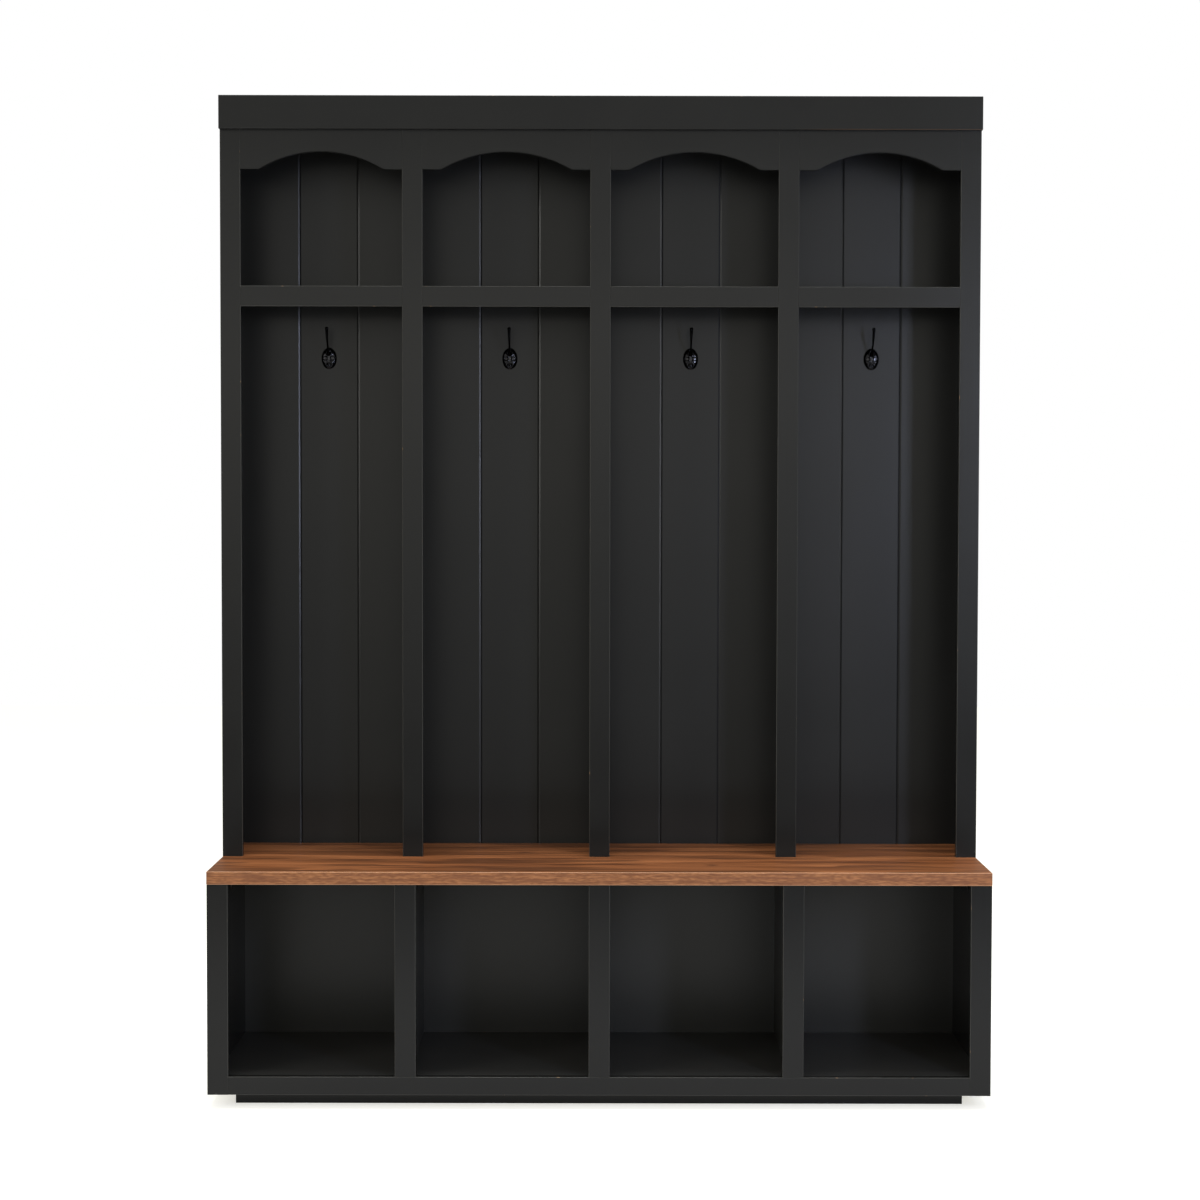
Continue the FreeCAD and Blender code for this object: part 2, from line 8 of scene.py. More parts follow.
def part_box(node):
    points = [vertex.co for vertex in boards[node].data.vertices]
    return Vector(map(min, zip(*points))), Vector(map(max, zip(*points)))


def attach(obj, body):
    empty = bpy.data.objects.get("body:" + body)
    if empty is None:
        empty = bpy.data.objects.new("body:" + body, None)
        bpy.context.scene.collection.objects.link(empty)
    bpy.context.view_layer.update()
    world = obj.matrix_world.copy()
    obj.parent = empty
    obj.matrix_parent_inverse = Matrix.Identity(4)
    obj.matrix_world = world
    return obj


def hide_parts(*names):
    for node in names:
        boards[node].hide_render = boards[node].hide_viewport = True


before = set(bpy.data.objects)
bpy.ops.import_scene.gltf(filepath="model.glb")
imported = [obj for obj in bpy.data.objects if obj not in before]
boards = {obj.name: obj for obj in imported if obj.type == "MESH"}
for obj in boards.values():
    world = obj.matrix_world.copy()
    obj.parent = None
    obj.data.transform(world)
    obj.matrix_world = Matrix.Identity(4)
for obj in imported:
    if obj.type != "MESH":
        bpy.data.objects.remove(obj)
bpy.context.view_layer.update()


# Plinth: a low frame of fibreboard that stands on the floor, set back under the base so that toes clear it.
# The front board shows as a dark strip; ribs under the partitions carry their load. All of it is lacquered.
def linear(hex_colour):
    """Turns an sRGB hex colour into the linear colour that a shader takes."""
    channels = (int(hex_colour[start:start + 2], 16) / 255 for start in (1, 3, 5))
    return (*(c / 12.92 if c <= 0.04045 else ((c + 0.055) / 1.055) ** 2.4 for c in channels), 1.0)


def add(tree, kind, sockets=None, **settings):
    """Adds a shader node, with its settings, and with values or other nodes' outputs on its sockets."""
    made = tree.nodes.new(kind)
    for name, value in settings.items():
        setattr(made, name, value)
    for socket, value in (sockets or {}).items():
        if isinstance(value, bpy.types.NodeSocket):
            tree.links.new(value, made.inputs[socket])
        else:
            made.inputs[socket].default_value = value
    return made


def blank_material(name):
    """Gives a new material and its empty node tree."""
    made = bpy.data.materials.new(name)
    made.use_nodes = True
    made.node_tree.nodes.clear()
    return made, made.node_tree


def dress(names, material):
    """Gives CAD boards their finish."""
    for name in names:
        boards[name].material_slots[0].material = material


# The Mix node has several sockets of one name, so its two colours and its mixed colour go by number.
MIX_A, MIX_B, MIXED = 6, 7, 2

# Sprayed acrylic lacquer on fibreboard, flatted to satin: nearly black, with a soft sheen that is a little
# uneven from hand to hand, and a faint orange peel close up. The real peel is about 2 mm wide and is drawn at
# 5 mm to show. The arrises are painted lighter, partly a thin rubbed film and partly a painted highlight, and here
# and there a chip bares the brown board.
lacquer, tree = blank_material("satin_black_lacquer")
cloud_width, peel_width, chip_width = 0.160, 0.005, 0.022
place = add(tree, "ShaderNodeTexCoord")
cloud = add(tree, "ShaderNodeTexNoise", {
    "Vector": place.outputs["Object"], "Scale": 1 / cloud_width, "Detail": 3.0})
peel = add(tree, "ShaderNodeTexNoise", {
    "Vector": place.outputs["Object"], "Scale": 1 / peel_width, "Detail": 1.0})
chip = add(tree, "ShaderNodeTexNoise", {
    "Vector": place.outputs["Object"], "Scale": 1 / chip_width, "Detail": 2.0})
facing = add(tree, "ShaderNodeSeparateXYZ", {"Vector": place.outputs["Normal"]})
forward = add(tree, "ShaderNodeMath", {0: facing.outputs["Y"]}, operation="ABSOLUTE")
turning = add(tree, "ShaderNodeMapRange", {
    "Value": forward.outputs["Value"], "From Min": 0.2, "From Max": 0.45}, interpolation_type="SMOOTHSTEP")
arris = add(tree, "ShaderNodeMapRange", {
    "Value": forward.outputs["Value"], "From Min": 0.9, "From Max": 0.8,
    "To Max": turning.outputs["Result"]}, interpolation_type="SMOOTHSTEP")
# Lighter arris colour: partly thin rubbed film, partly painted highlight.
rub_and_highlight = add(tree, "ShaderNodeMath", {0: arris.outputs["Result"], 1: 0.7}, operation="MULTIPLY")
chipped = add(tree, "ShaderNodeMapRange", {
    "Value": chip.outputs["Fac"], "From Min": 0.68, "From Max": 0.71, "To Max": arris.outputs["Result"]})
film = add(tree, "ShaderNodeMix", {
    "Factor": cloud.outputs["Fac"], MIX_A: linear("#161616"), MIX_B: linear("#1a1a19")}, data_type="RGBA")
thin_film_and_highlight = add(tree, "ShaderNodeMix", {
    "Factor": rub_and_highlight.outputs["Value"], MIX_A: film.outputs[MIXED], MIX_B: linear("#4a4a46")}, data_type="RGBA")
bared = add(tree, "ShaderNodeMix", {
    "Factor": chipped.outputs["Result"], MIX_A: thin_film_and_highlight.outputs[MIXED], MIX_B: linear("#8d7355")}, data_type="RGBA")
gloss = add(tree, "ShaderNodeMapRange", {
    "Value": cloud.outputs["Fac"], "From Min": 0.1, "From Max": 0.9, "To Min": 0.215, "To Max": 0.272})
skin = add(tree, "ShaderNodeBump", {"Height": peel.outputs["Fac"], "Strength": 0.15, "Distance": 0.00004})
coat = add(tree, "ShaderNodeBsdfPrincipled", {
    "Base Color": bared.outputs[MIXED],
    "Roughness": gloss.outputs["Result"],
    "Specular IOR Level": 0.205,
    "Normal": skin.outputs["Normal"],
})
add(tree, "ShaderNodeOutputMaterial", {"Surface": coat.outputs["BSDF"]})

dress(["plinth_front", "plinth_back", "plinth_side_left", "plinth_side_right", "plinth_ribs"], lacquer)


# Base carcass: sides, partitions and a bottom panel of 15 mm fibreboard, housed in each other and sprayed with
# the same lacquer before assembly. Two thin backs close it from behind.
INNER = (1, 2, 3)
dress(["base_side_left", "base_side_right"], lacquer)

# Roller-coated board for the backs: the same black film with a finer, flatter texture from the roller, which
# spreads the sheen wider and softer than on the sprayed face frame.
back_lacquer = lacquer.copy()
back_lacquer.name = "roller_coated_black_lacquer"
finish = back_lacquer.node_tree.nodes
finish[coat.name].inputs["Specular IOR Level"].default_value = 0.272
finish[gloss.name].inputs["To Min"].default_value = 0.29
finish[gloss.name].inputs["To Max"].default_value = 0.36

# Inside the cubbies: the same film with a little less sheen, and painted greyer: painted light that lifts the shade
# in the cubbies.
cubby_lacquer_painted_lighter = back_lacquer.copy()
cubby_lacquer_painted_lighter.name = "black_lacquer_painted_lighter_in_cubbies"
finish = cubby_lacquer_painted_lighter.node_tree.nodes
finish[coat.name].inputs["Specular IOR Level"].default_value = 0.245
# Greyer film: painted light for the shaded cubbies.
finish[film.name].inputs[MIX_A].default_value = linear("#2d2d2c")
finish[film.name].inputs[MIX_B].default_value = linear("#323230")
dress(["base_back_panel_left", "base_back_panel_right", "base_bottom_panel",
       *(f"base_partition_{index}" for index in INNER)], cubby_lacquer_painted_lighter)


# Face of the base: fibreboard stiles and a bottom rail glued over the front edges of the carcass, with their
# arrises eased by sanding, so that each joint shows as a fine line.
STILES = ("left", *INNER, "right")
dress(["base_bottom_rail", *(f"base_stile_{stile}" for stile in STILES)], lacquer)


# Bench: a 25 mm board in walnut-look laminate with the grain along its length, edged with a matching band.
# It lies on the base uprights and is held by cams and dowels from below.

# Printed laminate under a satin wear layer: warm brown, with wavy darker streaks along the board, fine fibres
# and a few small knots. The edge band is paler, with fine lines along it and short open pores, and its rounded
# arris carries a painted highlight, a light line. Lines and pores are 1 mm wide in fact, and are drawn at 4.5 and
# 2.4 mm to show.
walnut, tree = blank_material("walnut_laminate")
place = add(tree, "ShaderNodeTexCoord")
sway_place = add(tree, "ShaderNodeVectorMath", {
    0: place.outputs["Object"], 1: (1 / 0.28, 1 / 0.12, 1 / 0.12)}, operation="MULTIPLY")
sway = add(tree, "ShaderNodeTexNoise", {"Vector": sway_place.outputs[0], "Scale": 1.0, "Detail": 1.0})
bend = add(tree, "ShaderNodeVectorMath", {
    0: sway.outputs["Color"], 1: (0.0, 0.022, 0.004), 2: place.outputs["Object"]}, operation="MULTIPLY_ADD")
grain = {}
for layer, along, across, detail in (
        ("band", 0.80, 0.110, 2), ("streak", 0.40, 0.036, 2), ("line", 0.28, 0.026, 1),
        ("vein", 0.36, 0.0075, 2), ("fibre", 0.08, 0.0030, 2), ("pore", 0.013, 0.0024, 1)):
    stretched = add(tree, "ShaderNodeVectorMath", {
        0: bend.outputs[0], 1: (1 / along, 1 / across, 1 / across)}, operation="MULTIPLY")
    layer_noise = add(tree, "ShaderNodeTexNoise", {
        "Vector": stretched.outputs[0], "Scale": 1.0, "Detail": detail})
    grain[layer] = layer_noise.outputs["Fac"]
tones = add(tree, "ShaderNodeValToRGB", {"Fac": grain["streak"]})
darkest, palest = tones.color_ramp.elements
darkest.position, darkest.color = 0.38, linear("#774527")
palest.position, palest.color = 0.62, linear("#b37145")
tones.color_ramp.elements.new(0.45).color = linear("#905631")
tones.color_ramp.elements.new(0.53).color = linear("#a0623a")
shade = add(tree, "ShaderNodeMapRange", {
    "Value": grain["band"], "From Min": 0.38, "From Max": 0.66, "To Max": 0.45})
shaded = add(tree, "ShaderNodeMix", {
    "Factor": shade.outputs["Result"], MIX_A: tones.outputs["Color"], MIX_B: linear("#6a4026")}, data_type="RGBA")
surface = shaded
for layer, least, most, strength, colour in (
        ("line", 0.545, 0.58, 0.75, "#4c2b19"), ("vein", 0.52, 0.60, 0.5, "#553119"),
        ("fibre", 0.4, 0.7, 0.25, "#bb7a49")):
    drawn = add(tree, "ShaderNodeMapRange", {
        "Value": grain[layer], "From Min": least, "From Max": most, "To Max": strength})
    surface = add(tree, "ShaderNodeMix", {
        "Factor": drawn.outputs["Result"], MIX_A: surface.outputs[MIXED], MIX_B: linear(colour)}, data_type="RGBA")
for x, y, half_length, half_width in (
        (-0.490, -0.170, 0.050, 0.012), (0.219, -0.107, 0.018, 0.022),
        (0.722, -0.172, 0.045, 0.012), (-0.150, 0.060, 0.030, 0.014)):
    offset = add(tree, "ShaderNodeVectorMath", {
        0: place.outputs["Object"], 1: (1 / half_length, 1 / half_width, 0.0),
        2: (-x / half_length, -y / half_width, 0.0)}, operation="MULTIPLY_ADD")
    away = add(tree, "ShaderNodeVectorMath", {0: offset.outputs[0]}, operation="LENGTH")
    knot = add(tree, "ShaderNodeMapRange", {
        "Value": away.outputs["Value"], "From Min": 1.0, "From Max": 0.1, "To Max": 0.6},
        interpolation_type="SMOOTHSTEP")
    surface = add(tree, "ShaderNodeMix", {
        "Factor": knot.outputs["Result"], MIX_A: surface.outputs[MIXED], MIX_B: linear("#46281a")},
        data_type="RGBA")
facing = add(tree, "ShaderNodeSeparateXYZ", {"Vector": place.outputs["Normal"]})
upward = add(tree, "ShaderNodeMath", {0: facing.outputs["Z"]}, operation="ABSOLUTE")
open_pores = add(tree, "ShaderNodeMapRange", {"Value": grain["pore"], "From Min": 0.30, "From Max": 0.70})
band_tone = add(tree, "ShaderNodeMix", {
    "Factor": open_pores.outputs["Result"], MIX_A: linear("#9d6841"), MIX_B: linear("#744627")}, data_type="RGBA")
band_place = add(tree, "ShaderNodeVectorMath", {
    0: place.outputs["Object"], 1: (1 / 0.10, 1 / 0.10, 1 / 0.0045)}, operation="MULTIPLY")
band_grain = add(tree, "ShaderNodeTexNoise", {"Vector": band_place.outputs[0], "Scale": 1.0, "Detail": 2.0})
band_streak = add(tree, "ShaderNodeMapRange", {
    "Value": band_grain.outputs["Fac"], "From Min": 0.44, "From Max": 0.58, "To Max": 0.65})
band_line = add(tree, "ShaderNodeMix", {
    "Factor": band_streak.outputs["Result"], MIX_A: band_tone.outputs[MIXED], MIX_B: linear("#683d25")},
    data_type="RGBA")
on_band = add(tree, "ShaderNodeMapRange", {"Value": upward.outputs["Value"], "From Min": 0.9, "From Max": 0.7})
banded = add(tree, "ShaderNodeMix", {
    "Factor": on_band.outputs["Result"], MIX_A: surface.outputs[MIXED], MIX_B: band_line.outputs[MIXED]},
    data_type="RGBA")
turning = add(tree, "ShaderNodeMapRange", {
    "Value": upward.outputs["Value"], "From Min": 0.15, "From Max": 0.4, "To Max": 0.6},
    interpolation_type="SMOOTHSTEP")
arris = add(tree, "ShaderNodeMapRange", {
    "Value": upward.outputs["Value"], "From Min": 0.97, "From Max": 0.88, "To Max": turning.outputs["Result"]},
    interpolation_type="SMOOTHSTEP")
# Painted highlight: a light line along the band's rounded arris.
painted_arris_highlight = add(tree, "ShaderNodeMix", {
    "Factor": arris.outputs["Result"], MIX_A: banded.outputs[MIXED], MIX_B: linear("#d3a37c")}, data_type="RGBA")
wear_gloss = add(tree, "ShaderNodeMapRange", {"Value": grain["streak"], "To Min": 0.30, "To Max": 0.42})
relief_grain = add(tree, "ShaderNodeBump", {"Height": grain["pore"], "Strength": 0.2, "Distance": 0.00008})
face = add(tree, "ShaderNodeBsdfPrincipled", {
    "Base Color": painted_arris_highlight.outputs[MIXED],
    "Roughness": wear_gloss.outputs["Result"],
    "Specular IOR Level": 0.35,
    "Normal": relief_grain.outputs["Normal"],
})
add(tree, "ShaderNodeOutputMaterial", {"Surface": face.outputs["BSDF"]})

dress(["bench_top"], walnut)


# Hutch uprights: sides and partitions of 15 mm fibreboard that stand on the bench and carry the shelves in
# housings. Lacquered on all faces.
dress(["hutch_side_left", "hutch_side_right", *(f"hutch_partition_{index}" for index in INNER)], lacquer)


# Hutch backs: one 9 mm fibreboard panel behind each bay, routed with two V-grooves so that it looks like three
# boards, and screwed to the rear of the uprights.
BAYS = (1, 2, 3, 4)
dress([f"hutch_back_panel_{bay}" for bay in BAYS], back_lacquer)


# Shelves and their rails: a 15 mm board across each bay, housed in the uprights, with a 40 mm rail glued along
# its front edge, level with the stiles.
dress([f"shelf_{bay}" for bay in BAYS] + [f"shelf_rail_{bay}" for bay in BAYS], lacquer)


# Hutch stiles: 40 mm strips of fibreboard glued over the front edges of the uprights, from the bench to the
# top panel. They frame the four bays and are sprayed together with the uprights.
dress([f"hutch_stile_{stile}" for stile in STILES], lacquer)


# Aprons: a board under the top panel in each bay, jigsawn to a shallow arch whose edge is rounded over by
# sanding before the lacquer goes on.
SANDED_ROUND = 0.0007
aprons = [f"apron_{bay}" for bay in BAYS]
dress(aprons, lacquer)
for name in aprons:
    flat = boards[name].modifiers.new("planar_faces", "DECIMATE")
    flat.decimate_type = "DISSOLVE"
    flat.angle_limit = math.radians(1)
    eased = boards[name].modifiers.new("rounded_arrises", "BEVEL")
    eased.width = SANDED_ROUND
    eased.segments = 2
    eased.limit_method = "ANGLE"
    eased.angle_limit = math.radians(40)
    eased.harden_normals = True


# Top panel and cornice: a board across the uprights, and a 65 mm board on edge before it that hides its edge
# and stands proud of the stiles.
dress(["top_panel"], lacquer)

# The same lacquer, with the cornice's arrises lightened less, both the rubbed film and the painted highlight: only
# towards its right end is the lower one worn brown.
worn_lacquer = lacquer.copy()
worn_lacquer.name = "satin_black_lacquer_worn_below"
tree = worn_lacquer.node_tree
# Less of the lighter arris colour, which is partly rubbed film and partly painted highlight.
tree.nodes[rub_and_highlight.name].inputs[1].default_value = 0.1
tree.nodes[coat.name].inputs["Specular IOR Level"].default_value = 0.18
worn_from, worn_fully = 0.38, 0.48
place = add(tree, "ShaderNodeTexCoord")
spot = add(tree, "ShaderNodeSeparateXYZ", {"Vector": place.outputs["Object"]})
facing = add(tree, "ShaderNodeSeparateXYZ", {"Vector": place.outputs["Normal"]})
rightward = add(tree, "ShaderNodeMapRange", {
    "Value": spot.outputs["X"], "From Min": worn_from, "From Max": worn_fully})
below = add(tree, "ShaderNodeMapRange", {
    "Value": facing.outputs["Z"], "From Min": -0.3, "From Max": -0.6, "To Max": rightward.outputs["Result"]})
in_front = add(tree, "ShaderNodeMapRange", {
    "Value": facing.outputs["Y"], "From Min": -0.2, "From Max": -0.45, "To Max": below.outputs["Result"]})
worn = add(tree, "ShaderNodeMix", {
    "Factor": in_front.outputs["Result"], MIX_A: tree.nodes[bared.name].outputs[MIXED],
    MIX_B: linear("#473629")}, data_type="RGBA")
tree.links.new(worn.outputs[MIXED], tree.nodes[coat.name].inputs["Base Color"])
dress(["cornice"], worn_lacquer)


# Coat hooks: zinc castings in bright black plate. An oval rose with a raised middle has four petal hollows, with
# sharp ridges between them, and a slim prong that swells to a ball. Two screws through the upper and lower
# hollow hold each rose to the back panel.
HOOK_X = [(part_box(f"hutch_back_panel_{bay}")[0].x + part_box(f"hutch_back_panel_{bay}")[1].x) / 2
          for bay in BAYS]
HOOK_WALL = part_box("hutch_back_panel_1")[0].y
HOOK_Z = 1.458


def smooth(low, high, value):
    """Soft step from 0 at low to 1 at high, also where low is the larger."""
    share = min(max((value - low) / (high - low), 0.0), 1.0)
    return share * share * (3 - 2 * share)


def relief(mesh, half_width, half_height, height, rings, spokes, to_world):
    """Closed oval button: flat behind, and raised in front by height(u, v, share of the radius)."""
    middle = mesh.verts.new(to_world(0.0, 0.0, height(0.0, 0.0, 0.0)))
    loops = []
    for ring in range(1, rings + 1):
        share = ring / rings
        loop = []
        for spoke in range(spokes):
            angle = 2 * math.pi * spoke / spokes
            u = half_width * share * math.cos(angle)
            v = half_height * share * math.sin(angle)
            loop.append(mesh.verts.new(to_world(u, v, height(u, v, share))))
        loops.append(loop)
    foot = []
    for spoke in range(spokes):
        angle = 2 * math.pi * spoke / spokes
        foot.append(mesh.verts.new(to_world(half_width * math.cos(angle), half_height * math.sin(angle), 0.0)))
    loops.append(foot)
    for spoke in range(spokes):
        after = (spoke + 1) % spokes
        mesh.faces.new((middle, loops[0][spoke], loops[0][after]))
        for inner, outer in zip(loops, loops[1:]):
            mesh.faces.new((inner[spoke], outer[spoke], outer[after], inner[after]))
    mesh.faces.new(foot[::-1])


ROSE_HALF_WIDTH = 0.0155
ROSE_HALF_HEIGHT = 0.022
ROSE_EDGE, ROSE_RIM, ROSE_CROWN = 0.0006, 0.0042, 0.0022
RIDGE_HEIGHT, RIDGE_WIDTH = 0.0007, 0.0009
PETAL_DEPTH, PETAL_FLOOR = 0.0024, 0.0012
SCREW_RISE, SCREW_SEAT, SCREW_RADIUS = 0.0136, 0.0026, 0.0029
PETALS = ((0.0077, 0.0, 0.0046, 0.0042), (-0.0077, 0.0, 0.0046, 0.0042),
          (0.0, SCREW_RISE, 0.0040, 0.0048), (0.0, -SCREW_RISE, 0.0040, 0.0048))


def rose_height(u, v, share):
    """Rounded rim, a raised middle, four petal hollows and the ridges between them."""
    rim = ROSE_EDGE + ROSE_RIM * (1 - max(0.0, (share - 0.79) / 0.21) ** 1.3)
    crown = ROSE_CROWN * max(0.0, 1 - (share / 0.80) ** 2) ** 0.7
    diagonal = abs(abs(u) / ROSE_HALF_WIDTH - abs(v) / ROSE_HALF_HEIGHT) * ROSE_HALF_WIDTH * 0.75
    ridge = RIDGE_HEIGHT * math.exp(-(diagonal / RIDGE_WIDTH) ** 2)
    ridge = ridge * smooth(0.12, 0.3, share) * smooth(0.82, 0.66, share)
    hollow = 0.0
    for centre_u, centre_v, reach_u, reach_v in PETALS:
        spread = ((u - centre_u) / reach_u) ** 2 + ((v - centre_v) / reach_v) ** 2
        hollow = max(hollow, PETAL_DEPTH * smooth(1.25, 0.45, spread))
    return rim + crown + ridge - min(hollow, rim + crown - PETAL_FLOOR)


def screw_height(u, v, share):
    """Raised countersunk head with a cross recess."""
    head = 0.0004 + 0.0011 * math.sqrt(max(0.0, 1 - share ** 2 * 0.92))
    narrow, wide = sorted((abs(u), abs(v)))
    return head - 0.0008 * smooth(0.00075, 0.0004, narrow) * smooth(0.0021, 0.0016, wide)


def prong(mesh, to_world):
    """Slim prong that rises out of the rose in a shallow bow and ends in a ball."""
    steps, spokes = 56, 24
    root, start, reach, rise, bow, ball = 0.0040, 0.008, 0.045, 0.058, 0.009, 0.00375
    slim, flare, swell = 0.0019, 0.0026, 0.0011
    line = []
    for step in range(steps + 1):
        share = step / steps
        out = root + (reach - root) * share + 4 * bow * share * (1 - share)
        line.append(Vector((0.0, start + (rise - start) * share, out)))
    heading = (line[-1] - line[-2]).normalized()
    neck = line[-1].copy()
    line += [neck + heading * ball * math.sin(math.radians(turn)) for turn in (15, 30, 45, 60, 75, 86)]
    across = Vector((1.0, 0.0, 0.0))
    loops = []
    for index, centre in enumerate(line):
        before = line[max(index - 1, 0)]
        after = line[min(index + 1, len(line) - 1)]
        over = (after - before).normalized().cross(across)
        share = min(index / steps, 1.0)
        radius = slim + flare * smooth(0.16, 0.0, share) + swell * smooth(0.3, 1.0, share)
        past_neck = (centre - neck).dot(heading)
        if abs(past_neck) < ball:
            radius = max(radius if past_neck < 0 else 0.0, math.sqrt(ball ** 2 - past_neck ** 2))
        loop = []
        for spoke in range(spokes):
            angle = 2 * math.pi * spoke / spokes
            rim = centre + across * radius * math.cos(angle) + over * radius * math.sin(angle)
            loop.append(mesh.verts.new(to_world(*rim)))
        loops.append(loop)
    mesh.faces.new(loops[0][::-1])
    for inner, outer in zip(loops, loops[1:]):
        for spoke in range(spokes):
            after = (spoke + 1) % spokes
            mesh.faces.new((inner[spoke], inner[after], outer[after], outer[spoke]))
    mesh.faces.new(loops[-1])


def new_piece(name, mesh, material):
    """Turns a mesh under construction into a smooth piece that rides on the hall tree."""
    bmesh.ops.recalc_face_normals(mesh, faces=mesh.faces)
    data = bpy.data.meshes.new(name)
    mesh.to_mesh(data)
    mesh.free()
    for polygon in data.polygons:
        polygon.use_smooth = True
    data.materials.append(material)
    piece = bpy.data.objects.new(name, data)
    bpy.context.scene.collection.objects.link(piece)
    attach(piece, "root")
    return piece


# Black nickel on polished zinc: a dark mirror that is a little soft, so ridges catch white glints and the
# hollows stay black. Slight casting ripple, about 3 mm wide, breaks up the reflections. From 7 to 13 mm off the
# wall the plate fades to nearly black: a painted dark reflection on the prong.
black_plate, tree = blank_material("black_nickel_plate")
ripple_width, painted_dark_starts, painted_dark_full = 0.003, 0.007, 0.013
place = add(tree, "ShaderNodeTexCoord")
ripple = add(tree, "ShaderNodeTexNoise", {
    "Vector": place.outputs["Object"], "Scale": 1 / ripple_width, "Detail": 2.0})
tint = add(tree, "ShaderNodeMix", {
    "Factor": ripple.outputs["Fac"], MIX_A: linear("#252527"), MIX_B: linear("#343436")}, data_type="RGBA")
depth = add(tree, "ShaderNodeSeparateXYZ", {"Vector": place.outputs["Object"]})
# Painted dark reflection: the prong darkens from 7 to 13 mm off the wall.
prong_darkening = add(tree, "ShaderNodeMapRange", {
    "Value": depth.outputs["Y"], "From Min": HOOK_WALL - painted_dark_starts, "From Max": HOOK_WALL - painted_dark_full})
prong_painted_dark = add(tree, "ShaderNodeMix", {
    "Factor": prong_darkening.outputs["Result"], MIX_A: tint.outputs[MIXED], MIX_B: linear("#0d0d0e")}, data_type="RGBA")
plate_gloss = add(tree, "ShaderNodeMapRange", {"Value": ripple.outputs["Fac"], "To Min": 0.14, "To Max": 0.26})
cast = add(tree, "ShaderNodeBump", {"Height": ripple.outputs["Fac"], "Strength": 0.15, "Distance": 0.0001})
plate = add(tree, "ShaderNodeBsdfPrincipled", {
    "Base Color": prong_painted_dark.outputs[MIXED],
    "Metallic": 1.0,
    "Roughness": plate_gloss.outputs["Result"],
    "Normal": cast.outputs["Normal"],
})
add(tree, "ShaderNodeOutputMaterial", {"Surface": plate.outputs["BSDF"]})

mesh = bmesh.new()
for x in HOOK_X:
    relief(mesh, ROSE_HALF_WIDTH, ROSE_HALF_HEIGHT, rose_height, 40, 128,
           lambda u, v, out, x=x: (x + u, HOOK_WALL - out, HOOK_Z + v))
    prong(mesh, lambda u, v, out, x=x: (x + u, HOOK_WALL - out, HOOK_Z + v))
    for rise in (SCREW_RISE, -SCREW_RISE):
        relief(mesh, SCREW_RADIUS, SCREW_RADIUS, screw_height, 18, 48,
               lambda u, v, out, x=x, rise=rise: (x + u, HOOK_WALL - SCREW_SEAT - out, HOOK_Z + rise + v))
hooks = new_piece("coat_hook_castings", mesh, black_plate)
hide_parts("coat_hooks")


# Fittings: beech dowels, zinc-plated cam bolts and cam locks join the bench to the uprights. Dowels and bolts
# are sealed in the boards; the cams look out of the uprights and get press-in caps.

# Turned beech rod: pale, with short darker rays along the grain, about 2 mm long.
beech, tree = blank_material("bare_beech")
place = add(tree, "ShaderNodeTexCoord")
ray_place = add(tree, "ShaderNodeVectorMath", {
    0: place.outputs["Object"], 1: (1 / 0.0005, 1 / 0.0005, 1 / 0.002)}, operation="MULTIPLY")
wood_rays = add(tree, "ShaderNodeTexNoise", {"Vector": ray_place.outputs[0], "Scale": 1.0, "Detail": 1.0})
tint = add(tree, "ShaderNodeMix", {
    "Factor": wood_rays.outputs["Fac"], MIX_A: linear("#b98d5f"), MIX_B: linear("#d3ad7f")}, data_type="RGBA")
wood = add(tree, "ShaderNodeBsdfPrincipled", {"Base Color": tint.outputs[MIXED], "Roughness": 0.6})
add(tree, "ShaderNodeOutputMaterial", {"Surface": wood.outputs["BSDF"]})
dress(["wood_dowels"], beech)

# Zinc plate on die-cast and turned fittings: silvery, with a fine cloudy bloom, about 3 mm wide.
zinc, tree = blank_material("bright_zinc_plate")
bloom_width = 0.003
place = add(tree, "ShaderNodeTexCoord")
bloom = add(tree, "ShaderNodeTexNoise", {
    "Vector": place.outputs["Object"], "Scale": 1 / bloom_width, "Detail": 2.0})
tint = add(tree, "ShaderNodeMix", {
    "Factor": bloom.outputs["Fac"], MIX_A: linear("#a9aaa8"), MIX_B: linear("#c9cac6")}, data_type="RGBA")
zinc_gloss = add(tree, "ShaderNodeMapRange", {"Value": bloom.outputs["Fac"], "To Min": 0.28, "To Max": 0.42})
plated = add(tree, "ShaderNodeBsdfPrincipled", {
    "Base Color": tint.outputs[MIXED], "Metallic": 1.0, "Roughness": zinc_gloss.outputs["Result"]})
add(tree, "ShaderNodeOutputMaterial", {"Surface": plated.outputs["BSDF"]})
dress(["cam_bolts", "cam_locks"], zinc)


# Cam caps: black polythene discs, moulded, pressed over the ten cams inside the bays so that no metal shows.
# Each is 17 mm across and slightly crowned, with a thin rim.
CAP_RADIUS = 0.0085
CAM_PLACES = (("base", 0.00575, 0.399), ("hutch", 0.10225, 0.492))


def cap_height(u, v, share):
    """Crowned disc with a shallow ring near its rounded rim."""
    crown = 0.0006 + 0.0006 * (1 - share ** 2)
    rounded = math.sqrt(max(0.0, 1 - max(0.0, (share - 0.9) / 0.1) ** 2))
    ring = 0.0002 * math.exp(-((share - 0.78) / 0.05) ** 2)
    return crown * rounded - ring


